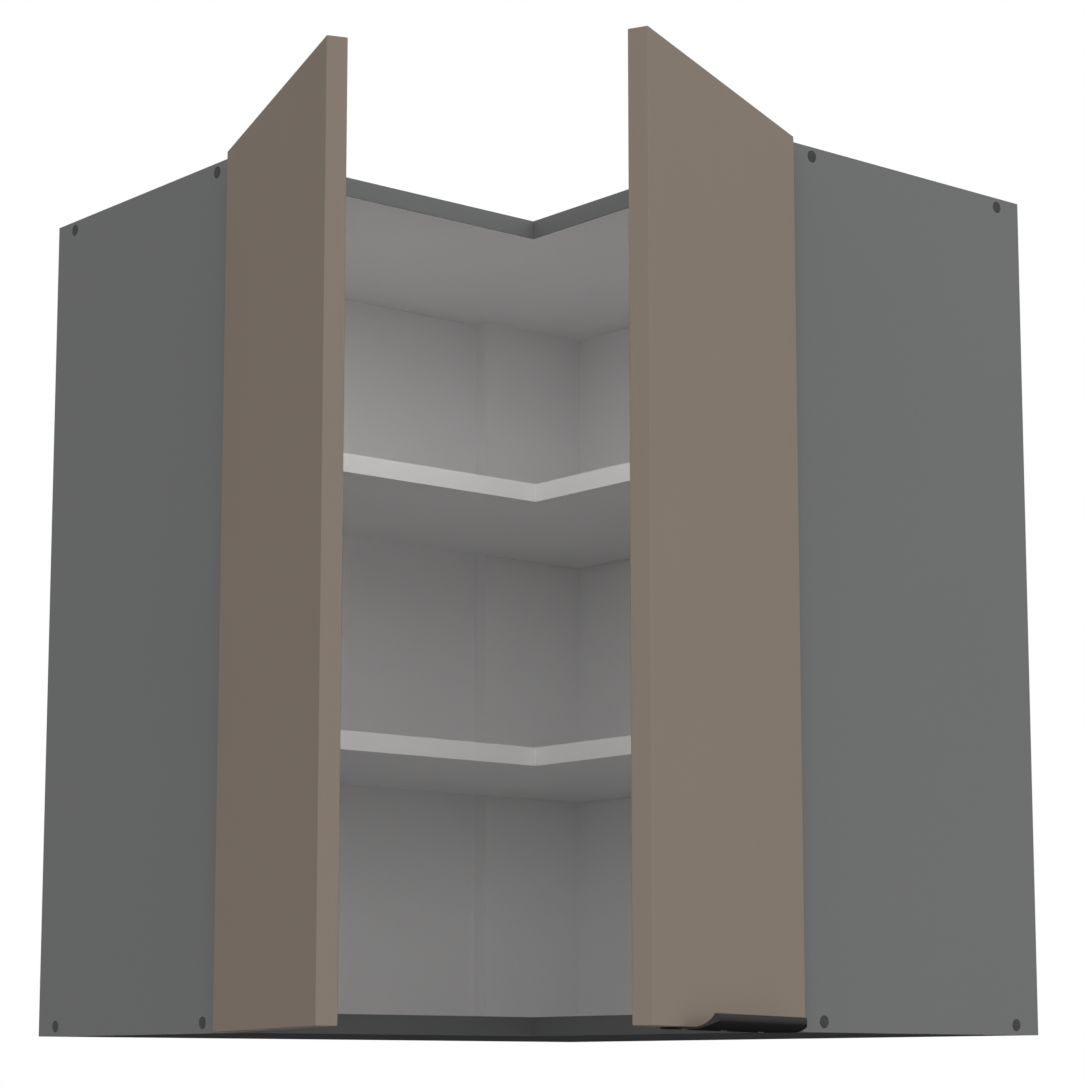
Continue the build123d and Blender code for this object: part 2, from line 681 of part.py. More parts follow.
chin = (lip_front - nose_end[0], nose_height - nose_end[1])
belly = (lip_front - nose_belly[0], nose_height - nose_belly[1])
handle_end = handle_middle - handle_length / 2
section = Plane(origin=right.door.origin + right.door.x_dir * handle_end,
                x_dir=right.door.y_dir, z_dir=right.door.x_dir)
handle_under = right.door.offset(-handle_plate)
countersink = 3.4
with BuildPart() as edge_handle:
    with BuildSketch(section):
        with BuildLine():
            Polyline((lip_base, -handle_plate), (0, -handle_plate), (0, 0), (lip_base, 0))
            ThreePointArc((lip_base, 0), hollow_middle, lip_tip)
            ThreePointArc(lip_tip, over, nose)
            ThreePointArc(nose, under, chin)
            ThreePointArc(chin, belly, (lip_base, -handle_plate))
        make_face()
    extrude(amount=handle_length)
    with BuildSketch(handle_under) as plan:
        span(handle_end, handle_end + handle_length, 0, lip_front)
        fillet(plan.vertices().group_by(Axis.Y)[-1], radius=lip_corner)
    extrude(amount=handle_plate + lip_tip[1], mode=Mode.INTERSECT)
    extrude(discs(handle_under, handle_screw_places, countersink), amount=handle_plate,
            taper=45, mode=Mode.SUBTRACT)
save(edge_handle.part, "edge_handle")

with BuildPart() as handle_screws:
    extrude(discs(handle_under, handle_screw_places, countersink - loose), amount=handle_plate,
            taper=45)
    extrude(discs(handle_under, handle_screw_places, handle_screw_radius),
            amount=handle_plate + handle_screw_bite - bore_end)
save(handle_screws.part, "handle_screws")
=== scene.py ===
import math

import bmesh
import bpy
from mathutils import Matrix, Vector


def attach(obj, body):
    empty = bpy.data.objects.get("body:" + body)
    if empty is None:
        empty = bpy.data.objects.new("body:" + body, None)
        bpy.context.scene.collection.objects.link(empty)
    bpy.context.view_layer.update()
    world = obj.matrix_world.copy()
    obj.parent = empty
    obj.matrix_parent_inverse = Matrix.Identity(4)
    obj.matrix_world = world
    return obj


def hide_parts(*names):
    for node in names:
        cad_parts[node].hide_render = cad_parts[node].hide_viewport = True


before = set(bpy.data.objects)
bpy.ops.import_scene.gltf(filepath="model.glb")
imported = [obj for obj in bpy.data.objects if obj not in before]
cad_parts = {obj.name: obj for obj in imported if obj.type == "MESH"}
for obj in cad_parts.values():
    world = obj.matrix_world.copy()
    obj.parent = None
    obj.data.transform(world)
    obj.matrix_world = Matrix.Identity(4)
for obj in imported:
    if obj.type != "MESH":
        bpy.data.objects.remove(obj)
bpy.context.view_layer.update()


# Camera: it stands in front of the open corner, on the diagonal, a little below the cabinet,
# and looks slightly up. A small part of the look upwards is a lens shift, which keeps the
# uprights nearly parallel and still leaves the whole cabinet in the other views.
frame_px = 1086.0
focal_px = 3006.2
lens_shift = 0.06
sensor = 36.0
stand = (2.2738, -1.9409, -0.0368)
look_up = 8.92            # degrees above level
look_round = 50.04        # degrees round to the left from straight at the right wall

camera = bpy.data.objects.new("camera", bpy.data.cameras.new("camera"))
bpy.context.scene.collection.objects.link(camera)
camera.location = stand
camera.rotation_euler = (math.radians(90 + look_up), 0, math.radians(look_round))
camera.data.sensor_width = sensor
camera.data.lens = sensor * focal_px / frame_px
camera.data.shift_y = lens_shift
camera.data.clip_start = 0.05
bpy.context.scene.camera = camera
bpy.context.scene.view_settings.view_transform = "Standard"


# Studio: a soft dome, brighter above than below and brighter in front of the corner than
# behind it, over a pale floor that is clear from below. The background is white.
class Value:
    """A socket that can be calculated with: each operator adds the Math node it names."""

    def __init__(self, tree, socket=None):
        self.tree = tree
        self.socket = socket

    def node(self, kind, settings=None, sockets=None, out=0):
        """Any other node: its type, its settings, and the values or links of its sockets."""
        made = self.tree.nodes.new(kind)
        for name, setting in (settings or {}).items():
            if name == "stops":
                ramp = made.color_ramp.elements
                while len(ramp) < len(setting):
                    ramp.new(1.0)
                for stop, (spot, colour) in zip(ramp, setting):
                    stop.position, stop.color = spot, (*colour, 1)
            else:
                setattr(made, name, setting)
        for key, value in (sockets or {}).items():
            if isinstance(value, Value):
                self.tree.links.new(value.socket, made.inputs[key])
            else:
                made.inputs[key].default_value = value
        return Value(self.tree, made.outputs[out] if made.outputs else None)

    def math(self, operation, first, second=0.0):
        return self.node("ShaderNodeMath", {"operation": operation}, {0: first, 1: second})

    def __add__(self, other):
        return self.math("ADD", self, other)

    def __sub__(self, other):
        return self.math("SUBTRACT", self, other)

    def __rsub__(self, other):
        return self.math("SUBTRACT", other, self)

    def __mul__(self, other):
        return self.math("MULTIPLY", self, other)

    __radd__ = __add__
    __rmul__ = __mul__

    def largest(self, other):
        """The larger of this and another number."""
        return self.math("MAXIMUM", self, other)

    def above(self, limit, soft=0.0):
        """0 below limit and 1 over it, with a soft step."""
        if not soft:
            return self.math("GREATER_THAN", self, limit)
        return self.node("ShaderNodeMapRange", {"interpolation_type": "SMOOTHSTEP"},
                         {"Value": self, "From Min": limit - soft, "From Max": limit + soft})

    def blend(self, low, high):
        """Colour low where this is 0 and colour high where it is 1."""
        sockets = {0: self}
        for key, colour in ((6, low), (7, high)):
            sockets[key] = colour if isinstance(colour, Value) else (*colour, 1)
        return self.node("ShaderNodeMix", {"data_type": "RGBA"}, sockets, out=2)

    def parts(self):
        """The three numbers of a vector."""
        split = self.node("ShaderNodeSeparateXYZ", sockets={0: self}).socket.node
        return [Value(self.tree, socket) for socket in split.outputs]


def seen_directly(start):
    """1 for what the camera sees, itself or in metal or glass, and 0 for light."""
    path = start.node("ShaderNodeLightPath").socket.node
    rays = [Value(start.tree, path.outputs[name])
            for name in ("Is Camera Ray", "Is Glossy Ray", "Is Transmission Ray")]
    return rays[0].largest(rays[1].largest(rays[2]))


lamps = (                 # azimuth, elevation, narrowness and strength of each soft glow
    (-40, 12, 8, 1.18),
    (-40, 35, 3, 0.89),
    (50, 35, 3, 1.23),
    (-100, 10, 3, 0.19),
    (0, 90, 4, 0.61),
    (-40, -12, 8, 0.17))
sky = 0.93
world = bpy.data.worlds.new("studio")
world.use_nodes = True
world.node_tree.nodes.clear()
bpy.context.scene.world = world
start = Value(world.node_tree)
way = start.node("ShaderNodeTexCoord", out=0)
strength = way.parts()[2].above(0.0) * sky
for azimuth, elevation, narrow, power in lamps:
    turn, tilt = math.radians(azimuth), math.radians(elevation)
    aim = (math.cos(turn) * math.cos(tilt), math.sin(turn) * math.cos(tilt), math.sin(tilt))
    facing = way.node("ShaderNodeVectorMath", {"operation": "DOT_PRODUCT"}, {0: way, 1: aim},
                      out=1)
    glow = facing.math("POWER", facing.largest(0.0), narrow)
    strength = strength + glow * power
background = start.node("ShaderNodeBackground", sockets={
    "Color": (1, 1, 1, 1), "Strength": seen_directly(start) * (1.0 - strength) + strength})
start.node("ShaderNodeOutputWorld", sockets={"Surface": background})

floor_middle = (0.3, -0.3, -1.45)
floor_radius = 4.0
floor_shown = (0.80, 0.80, 0.79)
floor_in_light = (0.12, 0.12, 0.12)
floor = bpy.data.objects.new("floor", bpy.data.meshes.new("floor"))
bpy.context.scene.collection.objects.link(floor)
disc = bmesh.new()
bmesh.ops.create_circle(disc, cap_ends=True, radius=floor_radius, segments=96,
                        matrix=Matrix.Translation(floor_middle))
disc.to_mesh(floor.data)
disc.free()
floor_paint = bpy.data.materials.new("floor_paint")
floor_paint.use_nodes = True
floor_paint.node_tree.nodes.clear()
start = Value(floor_paint.node_tree)
floor_colour = seen_directly(start).blend(floor_in_light, floor_shown)
matt = start.node("ShaderNodeBsdfDiffuse", sockets={"Color": floor_colour})
clear = start.node("ShaderNodeBsdfTransparent")
from_below = start.node("ShaderNodeNewGeometry", out="Backfacing")
surface = start.node("ShaderNodeMixShader", sockets={0: from_below, 1: matt, 2: clear})
start.node("ShaderNodeOutputMaterial", sockets={"Surface": surface})
floor.data.materials.append(floor_paint)


# Side, top and bottom panels: 16 mm chipboard with a melamine skin, graphite on the outside
# of the cabinet and white on the inside. The rear edges and the drilled holes are bare.
mm = 0.001                # sizes are in millimetres, and the scene is in metres
graphite = (0.1225, 0.1240, 0.1250)
white = (0.860, 0.8550, 0.8535)
skin = 0.35
leg = 600                 # along each wall, from the room's corner
board = 16
height = 716


def begin(name):
    """A new empty material and a first Value in its tree."""
    material = bpy.data.materials.new(name)
    material.use_nodes = True
    material.node_tree.nodes.clear()
    return material, Value(material.node_tree)


def place(start):
    """The point on the piece, in metres."""
    return start.node("ShaderNodeTexCoord", out=3)


def cloud(point, size, detail=2.0, rough=0.5):
    """Noise from 0 to 1 with features of a size."""
    return point.node("ShaderNodeTexNoise", sockets={
        "Vector": point, "Scale": 1.0 / (size * mm), "Detail": detail, "Roughness": rough})


def drawn_out(point, x=1.0, z=1.0):
    """The point with its first or last number scaled, to draw a pattern out that way."""
    return point.node("ShaderNodeMapping", sockets={"Vector": point, "Scale": (x, 1.0, z)})


def shade(colour, amount):
    """A colour made lighter or darker by a number near 1."""
    return amount.node("ShaderNodeVectorMath", {"operation": "SCALE"},
                       {0: colour, "Scale": amount})


def bumps(relief, deep):
    """Normals of a surface with a relief from 0 to 1, so deep from low to high."""
    return relief.node("ShaderNodeBump", sockets={"Height": relief, "Distance": deep * mm})


def finish(start, colour, roughness, normal, **constants):
    """The surface of a material, with its even properties such as metallic=1."""
    sockets = {"Base Color": colour, "Roughness": roughness, "Normal": normal}
    for name, value in constants.items():
        sockets[name.replace("_", " ").title().replace("Ior", "IOR")] = value
    surface = start.node("ShaderNodeBsdfPrincipled", sockets=sockets)
    start.node("ShaderNodeOutputMaterial", sockets={"Surface": surface})


def between(value, low, high):
    """1 where a distance in the shader lies between two sizes."""
    return value.above(low * mm) * (1.0 - value.above(high * mm))


chip_size = 1.6
chip_shades = [(0.30, (0.20, 0.115, 0.055)), (0.48, (0.40, 0.26, 0.14)),
               (0.66, (0.62, 0.45, 0.27))]


def chipboard(point):
    """Colour of bare chipboard: pressed chips from straw to brown."""
    chips = cloud(drawn_out(point, z=2.5), chip_size, 4.0, 0.7)
    return chips.node("ShaderNodeValToRGB", {"stops": chip_shades}, {0: chips})


def melamine(point, colour):
    """Colour, roughness and normal of a melamine skin: even, with a fine pearl."""
    tone = cloud(point, 240) * 0.03 + cloud(point, 1.1, 1.0) * 0.04 + 0.965
    pearl = cloud(point, 0.5, 3.0)
    return shade(colour, tone), pearl * 0.14 + 0.52, bumps(pearl, 0.02)


def panel_finish(name, faces):
    """A two-tone board. faces gives 1 on its white side, and 1 where its skin covers it."""
    material, start = begin(name)
    point = place(start)
    white_side, skinned = faces(*point.parts())
    colour, roughness, normal = melamine(point, white_side.blend(graphite, white))
    finish(start, skinned.blend(chipboard(point), colour), roughness, normal,
           specular_ior_level=0.0 if name.startswith("bottom") else board_gloss)
    return material


def dress(name, material):
    """Give a piece of the frame its finish."""
    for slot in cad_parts[name].material_slots:
        slot.material = material


def side_faces(across, z):
    """across is the distance to the point from the far wall, along the leg."""
    ends = 1.0 - between(z, skin, height - skin)
    core = between(across, leg - board + skin, leg - skin)
    inside = (1.0 - across.above((leg - board / 2) * mm)) * (1.0 - ends)
    return inside, ends.largest(1.0 - core)


def bottom_faces(x, y, z):
    return z.above(board / 2 * mm), 1.0 - between(z, skin, board - skin)


def top_faces(x, y, z):
    core = between(z, height - board + skin, height - skin)
    return 1.0 - z.above((height - board / 2) * mm), 1.0 - core


board_gloss = 0.02
for name, faces in (("right_side_panel", lambda x, y, z: side_faces(x, z)),
                    ("left_side_panel", lambda x, y, z: side_faces(y * -1.0, z)),
                    ("bottom_panel", bottom_faces), ("top_panel", top_faces)):
    dress(name, panel_finish(f"{name}_melamine", faces))


# Edge bands: 1 mm plastic strips on the front edges, glued on hot and trimmed flush. They are
# graphite on the carcass and white on the shelves, where they are bent round the inner corner.
# Along that bend the white band carries painted shade, which holds down the light the bend
# catches.
depth = 289
shelf_setback = 17
# Reach, fade and depth of the painted shade along the shelves' bend.
bend_shade_reach = 2.8          # from the inner corner to the middle of the fade
bend_shade_fade = 1.3
painted_bend_shade = 0.13
edge_graphite = (0.1145, 0.1165, 0.1175)
edge_white = (0.808, 0.804, 0.802)


def edging(name, tone, paints_bend_shade=False):
    material, start = begin(name)
    point = place(start)
    ripple = cloud(point, 1.8, 1.0)
    lightness = ripple * 0.03 + 0.985
    # Painted shade: the white band is darkened where it bends round the shelves' inner corner, to
    # hold down the light that the bend catches.
    if paints_bend_shade:
        x, y, _ = point.parts()
        shelf_front = (depth - shelf_setback) * mm
        away_x, away_y = x - shelf_front, y + shelf_front
        away = x.math("SQRT", away_x * away_x + away_y * away_y)
        lit = away.above(bend_shade_reach * mm, bend_shade_fade * mm)
        lightness = lightness - (1.0 - lit) * painted_bend_shade
    finish(start, shade(tone, lightness), ripple * 0.1 + 0.45, bumps(ripple, 0.01),
           specular_ior_level=0.03)
    return material


dress("carcass_edge_bands", edging("graphite_edging", edge_graphite))
white_edging = edging("white_edging", edge_white, paints_bend_shade=True)
for name in ("lower_shelf_edge_band", "upper_shelf_edge_band"):
    dress(name, white_edging)


# Connecting screws: zinc plated steel, through the side panels into the ends of the top and
# bottom panels, and through those into the corner stile. Nearly flat caps hide the heads.
forward = {"left": Vector((1, 0, 0)), "right": Vector((0, -1, 0))}
endward = {"left": Vector((0, -1, 0)), "right": Vector((1, 0, 0))}
upward = Vector((0, 0, 1))
crease = 35


def on_end(side, from_wall, up, inside=0.0):
    """A point of a side panel: distances to the wall, up, and in from its outer face."""
    return (forward[side] * from_wall + endward[side] * (leg - inside) + upward * up) * mm


def seat(point, out, across):
    """The place of a shape: its z axis leads out, and its x axis across."""
    axes = Matrix((across, out.cross(across), out)).transposed()
    return Matrix.Translation(point) @ axes.to_4x4()


def turned(outline, sides=32):
    """A shape turned about z, from the radii and heights of its outline."""
    shape = bmesh.new()
    points = [shape.verts.new((radius * mm, 0, up * mm)) for radius, up in outline]
    lines = [shape.edges.new(pair) for pair in zip(points, points[1:])]
    bmesh.ops.spin(shape, geom=points + lines, axis=(0, 0, 1), cent=(0, 0, 0),
                   angle=2 * math.pi, steps=sides, use_merge=True)
    bmesh.ops.remove_doubles(shape, verts=shape.verts, dist=0.001 * mm)
    bmesh.ops.recalc_face_normals(shape, faces=shape.faces)
    return shape


def piece(name, shape, places, material, slot, body, *stands_for):
    """One object with the shape at every place, riding on a body and replacing nodes."""
    single = bpy.data.meshes.new(name)
    shape.to_mesh(single)
    shape.free()
    whole = bmesh.new()
    for spot in places:
        before = len(whole.verts)
        whole.from_mesh(single)
        whole.verts.ensure_lookup_table()
        bmesh.ops.transform(whole, matrix=spot, verts=whole.verts[before:])
    made = bpy.data.objects.new(name, bpy.data.meshes.new(name))
    whole.to_mesh(made.data)
    whole.free()
    bpy.data.meshes.remove(single)
    made.data.shade_smooth()
    made.data.set_sharp_from_angle(angle=math.radians(crease))
    made.data.materials.append(material)
    bpy.context.scene.collection.objects.link(made)
    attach(made, body)
    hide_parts(*stands_for)


def plated(name, tone, rough):
    """Plated steel: bright, with a soft cloudy bloom and fine pits."""
    material, start = begin(name)
    point = place(start)
    bloom = cloud(point, 4, 3.0)
    pits = cloud(point, 0.25, 2.0)
    finish(start, shade(tone, bloom * 0.16 + 0.92), bloom * 0.14 + pits * 0.08 + rough,
           bumps(pits, 0.001), metallic=1.0)
    return material


zinc_tone = (0.60, 0.62, 0.65)
zinc = plated("zinc_plated_steel", zinc_tone, 0.26)
for name in ("connecting_screws", "stile_screws"):
    dress(name, zinc)

cap_tone = (0.040, 0.041, 0.042)
dark_caps, start = begin("dark_caps")
point = place(start)
grain = cloud(point, 0.3, 2.0)
finish(start, shade(cap_tone, grain * 0.16 + 0.92), grain * 0.12 + 0.42,
       bumps(grain, 0.01), specular_ior_level=0.05)

cap_outline = ((0, -0.10), (2.0, -0.12), (3.2, -0.16), (4.2, -0.22), (4.7, -0.28), (4.88, -0.36),
               (4.95, -0.48), (4.95, -0.90), (0, -0.90))
front_row = depth - 37    # the front holes of a side panel, from the wall
screw_rows = (27, front_row)
screw_heights = (board / 2, height - board / 2)
back_rear = 10            # from the wall to the back panel, which is 3 mm thick
back_front = back_rear + 3
stile_middle = (back_front + board / 2, -73)
stile_rows = (stile_middle[1] + 30, stile_middle[1] - 30)
end_caps = [seat(on_end(side, away, up), endward[side], upward)
            for side in forward for away in screw_rows for up in screw_heights]
piece("cabinet_side_caps", turned(cap_outline), end_caps, dark_caps, "dark_caps", "carcass",
      "connecting_screw_caps")
stile_caps = [seat(Vector((stile_middle[0], y, up)) * mm, upward * way, Vector((1, 0, 0)))
              for y in stile_rows for up, way in ((0, -1), (height, 1))]
piece("cabinet_stile_caps", turned(cap_outline), stile_caps, dark_caps, "dark_caps", "carcass",
      "stile_screw_caps")


# Corner stile and back panels: the stile is white melamine board. The back panels are 3 mm
# hardboard, lacquered white in front and bare brown behind, screwed to the stile from behind.
white_melamine, start = begin("white_melamine")
colour, roughness, normal = melamine(place(start), white)
finish(start, colour, roughness, normal, specular_ior_level=board_gloss)
dress("corner_stile", white_melamine)

lacquer = 0.2
fibre_brown = (0.235, 0.125, 0.060)
mesh_pitch = 1.1


def hardboard(name, across_slot, away_slot):
    """Hardboard: parts of the point that run across the sheet and away from the wall."""
    material, start = begin(name)
    point = place(start)
    parts = point.parts()
    across, away, up = parts[across_slot], parts[away_slot], parts[2]
    away = away.math("ABSOLUTE", away)
    painted = away.above((back_front - lacquer) * mm)
    colour, roughness, _ = melamine(point, white)
    fibres = cloud(point, 2.2, 5.0, 0.65)
    waves = 2 * math.pi / (mesh_pitch * mm)
    weave = across.math("SINE", across * waves) * up.math("SINE", up * waves) * 0.5 + 0.5
    brown = shade(fibre_brown, fibres * 0.9 + 0.5)
    relief = (weave * 0.7 + fibres * 0.3) * (1.0 - painted) + fibres * painted * 0.1
    finish(start, painted.blend(brown, colour), roughness + (1.0 - painted) * 0.2,
           bumps(relief, 0.12), specular_ior_level=board_gloss)
    return material


dress("left_back_panel", hardboard("left_back_hardboard", 1, 0))
dress("right_back_panel", hardboard("right_back_hardboard", 0, 1))


recess_arm = 15           # degrees, from the middle of an arm of a cross recess to its corner
recess_lip = 0.05
recess_taper = 0.7


def cross(turn, reach):
    """How far a cross-shaped recess reaches from its middle, at a turn about it."""
    fold = turn % (math.pi / 2)
    fold = min(fold, math.pi / 2 - fold)
    arm = math.tan(math.radians(recess_arm))
    return reach / math.cos(fold) if math.tan(fold) < arm + 0.001 else reach * arm / math.sin(fold)


def screw(outline, recess, sunk):
    """A turned screw with a cross recess. The outline starts at the rim of its flat top."""
    shape = turned(outline, sides=24)
    rim = [edge for edge in shape.edges if edge.is_boundary]
    top = bmesh.ops.contextual_create(shape, geom=rim)["faces"]
    bmesh.ops.inset_region(shape, faces=top, thickness=recess_lip * mm)
    for corner in top[0].verts:
        turn = math.atan2(corner.co.y, corner.co.x)
        corner.co.xy = Vector((math.cos(turn), math.sin(turn))) * cross(turn, recess * mm)
    pressed = bmesh.ops.extrude_face_region(shape, geom=top)["geom"]
    bmesh.ops.delete(shape, geom=top, context="FACES_ONLY")
    low = [item for item in pressed if isinstance(item, bmesh.types.BMVert)]
    bmesh.ops.translate(shape, vec=(0, 0, -sunk * mm), verts=low)
    bmesh.ops.scale(shape, vec=(recess_taper, recess_taper, 1), verts=low)
    bmesh.ops.recalc_face_normals(shape, faces=shape.faces)
    return shape


thread_pitch = 1.2
thread_root = 0.78        # share of the thread's radius
neck = (0.8, 1.0)         # share of the thread's radius, and length
tip = 1.5


def threaded(radius, head_base, length):
    """The shank of a screw from its head down: a plain neck, turned ridges and a point."""
    ridges = int((length - neck[1] - tip) / thread_pitch)
    line = [(radius * neck[0], head_base), (radius * neck[0], head_base - neck[1])]
    for turn in range(ridges):
        low = head_base - neck[1] - turn * thread_pitch
        line += [(radius * thread_root, low), (radius, low - thread_pitch / 2)]
    return line + [(radius * thread_root, head_base - neck[1] - ridges * thread_pitch),
                   (0, head_base - length)]


back_screw = screw([(1.9, 1.55), (2.5, 1.40), (3.0, 0.95), (3.2, 0.40), (3.2, 0)]
                   + threaded(1.5, 0, 15), 1.5, 0.9)
back_screw_heights = (104, 274, 444, 614)
back_rows = [seat(Vector((back_rear, stile_middle[1], up)) * mm, Vector((-1, 0, 0)), upward)
             for up in back_screw_heights]
back_rows += [seat(Vector((stile_middle[0], -back_rear, up)) * mm, Vector((0, 1, 0)), upward)
              for up in back_screw_heights]
piece("cabinet_back_screws", back_screw, back_rows, zinc, "zinc_plated_steel", "carcass",
      "back_panel_screws")


# Shelves: white melamine board on nickel plated pins. Two pins with a collar stand out of
# each side panel, and two plain dowels join each shelf to the corner stile.
for name in ("lower_shelf", "upper_shelf"):
    dress(name, white_melamine)
nickel_tone = (0.62, 0.605, 0.575)
nickel = plated("nickel_plated_steel", nickel_tone, 0.2)
pin_rows = (60, front_row)
pin_drop = 2.5
stile_front = back_front + board
shelf_base = {"lower_shelf": 233.3, "upper_shelf": 467.2}
shelf_pin = ((0, 8.0), (1.9, 8.0), (2.3, 7.8), (2.5, 7.3), (2.5, 1.2), (2.7, 0.9), (3.3, 0.9),
             (3.6, 0.6), (3.6, 0), (2.5, 0), (2.5, -8.4), (2.0, -9.0), (0, -9.0))
dowel = ((0, 8.0), (1.9, 8.0), (2.5, 7.2), (2.5, -8.2), (1.9, -9.0), (0, -9.0))
for name, base in shelf_base.items():
    pins = [seat(on_end(side, away, base - pin_drop, board), -endward[side], upward)
            for side in forward for away in pin_rows]
    piece(f"{name}_collar_pins", turned(shelf_pin, 24), pins, nickel, "nickel_plated_steel",
          "carcass", f"{name}_pins")
    dowels = [seat(Vector((stile_front, y, base + board / 2)) * mm, Vector((1, 0, 0)), upward)
              for y in stile_rows]
    piece(f"{name}_dowels", turned(dowel, 24), dowels, nickel, "nickel_plated_steel",
          "carcass", f"{name}_pins")


# Wall hangers: a white plastic housing screwed to each side panel in the upper rear corner,
# a steel hook in it with two adjusting screws, and a thin plastic cover clipped over it.
plastic_tone = (0.78, 0.78, 0.77)
white_plastic, start = begin("white_plastic")
point = place(start)
sparked = cloud(point, 0.35, 3.0)
finish(start, shade(plastic_tone, cloud(point, 9) * 0.05 + 0.95),
       sparked * 0.16 + 0.36, bumps(sparked, 0.02), specular_ior_level=0.3)
adjuster_spot = (51.5, 24.75)     # from the wall, and in from the panel's outer face
adjuster_heights = (675, 686)
fixing_rows = (20, 42)
fixing_height = 652
fixing_seat = 33.5
for side in forward:
    dress(f"{side}_hanger", white_plastic)
    dress(f"{side}_hanger_cover", white_plastic)
    dress(f"{side}_hanger_hook", zinc)
    adjuster = screw([(1.9, 1.50), (2.6, 1.45), (3.0, 1.05), (3.0, 0)] + threaded(2.0, 0, 7.4),
                     1.5, 1.0)
    adjusters = [seat(on_end(side, adjuster_spot[0], up, adjuster_spot[1]), forward[side], upward)
                 for up in adjuster_heights]
    piece(f"{side}_hanger_adjusters", adjuster, adjusters, zinc, "zinc_plated_steel", "carcass",
          f"{side}_hanger_screws")
    fixing = screw([(2.2, -0.10), (3.3, -0.10), (3.6, -0.40), (3.6, -2.20)]
                   + threaded(2.0, -2.2, 26.3), 1.8, 1.2)
    fixings = [seat(on_end(side, away, fixing_height, fixing_seat), -endward[side], upward)
               for away in fixing_rows]
    piece(f"{side}_hanger_fixings", fixing, fixings, zinc, "zinc_plated_steel", "carcass",
          f"{side}_hanger_screws")


# Doors: 16 mm boards with a matt taupe laminate all round, with a very faint upright grain.
# They hang on the outer ends of the legs, and stand open at rest.
taupe = (0.189, 0.1555, 0.128)
swing = {"left": -110, "right": 114}
door_width = {"left": 296.7, "right": 288.2}
hinge_from_wall = 291.8
hinge_inside = 2          # in from the side panel's outer face
along = {side: Matrix.Rotation(math.radians(swing[side]), 3, "Z") @ -endward[side]
         for side in swing}
outward = {"left": upward.cross(along["left"]) * -1, "right": upward.cross(along["right"])}


def on_door(side, away, up, out=0.0):
    """A point of an open door: from its hinge axis, up, and out from its inner face."""
    axis = on_end(side, hinge_from_wall, up, hinge_inside)
    return axis + (along[side] * away + outward[side] * out) * mm


taupe_laminate, start = begin("taupe_laminate")
point = place(start)
grain = cloud(drawn_out(point, z=0.03), 1.6, 3.0, 0.6)
drift = cloud(point, 120, 1.0)
pearl = cloud(point, 0.5, 2.0)
finish(start, shade(taupe, grain * 0.05 + drift * 0.03 + 0.96), pearl * 0.1 + grain * 0.06 + 0.5,
       bumps(grain * 0.6 + pearl * 0.4, 0.02), specular_ior_level=0.005)
for side in swing:
    dress(f"{side}_door_panel", taupe_laminate)


# Hinge cups: pressed nickel plated steel pots in the doors, with a beaded rim, two ears that
# take the cup screws, and a tongue rolled round the hinge pin.
hinge_heights = (100, height - 100)
cup_from_hinge = 22.5
ear_reach = 24
ear_sheet = 0.9
cup_screw_sink = 1


def arc(x, y, radius, first, last):
    """Points of an arc, every 15 degrees."""
    return [(x + radius * math.cos(math.radians(turn)), y + radius * math.sin(math.radians(turn)))
            for turn in range(first, last + 1, 15)]


def plate(outline, low, high, arris=0.25):
    """A flat outline made solid between two heights, with its edges rounded."""
    shape = bmesh.new()
    corners = [shape.verts.new((x * mm, y * mm, low * mm)) for x, y in outline]
    sheet = shape.faces.new(corners)
    raised = bmesh.ops.extrude_face_region(shape, geom=[sheet])["geom"]
    top = [item for item in raised if isinstance(item, bmesh.types.BMVert)]
    bmesh.ops.translate(shape, vec=(0, 0, (high - low) * mm), verts=top)
    bmesh.ops.recalc_face_normals(shape, faces=shape.faces)
    sharp = [edge for edge in shape.edges if edge.calc_face_angle(0) > math.radians(40)]
    bmesh.ops.bevel(shape, geom=sharp, offset=arris * mm, offset_type="OFFSET", segments=2,
                    profile=0.5, affect="EDGES", material=-1)
    return shape


def together(*shapes):
    """Several shapes as one."""
    whole = bmesh.new()
    for shape in shapes:
        part = bpy.data.meshes.new("part")
        shape.to_mesh(part)
        shape.free()
        whole.from_mesh(part)
        bpy.data.meshes.remove(part)
    return whole


def upended(shape):
    """The shape, given a quarter turn about the x axis."""
    bmesh.ops.rotate(shape, cent=(0, 0, 0), matrix=Matrix.Rotation(math.pi / 2, 3, "X"),
                     verts=shape.verts)
    return shape


knuckle_radius = 2.4
knuckle_bore = 1.3
knuckle_arris = 0.3


def knuckle(low, high):
    """A tube round the hinge pin, between two heights, with its ends broken."""
    rim = knuckle_radius - knuckle_arris
    return turned(((knuckle_bore, low), (rim, low), (knuckle_radius, low + knuckle_arris),
                   (knuckle_radius, high - knuckle_arris), (rim, high), (knuckle_bore, high),
                   (knuckle_bore, low)), 24)


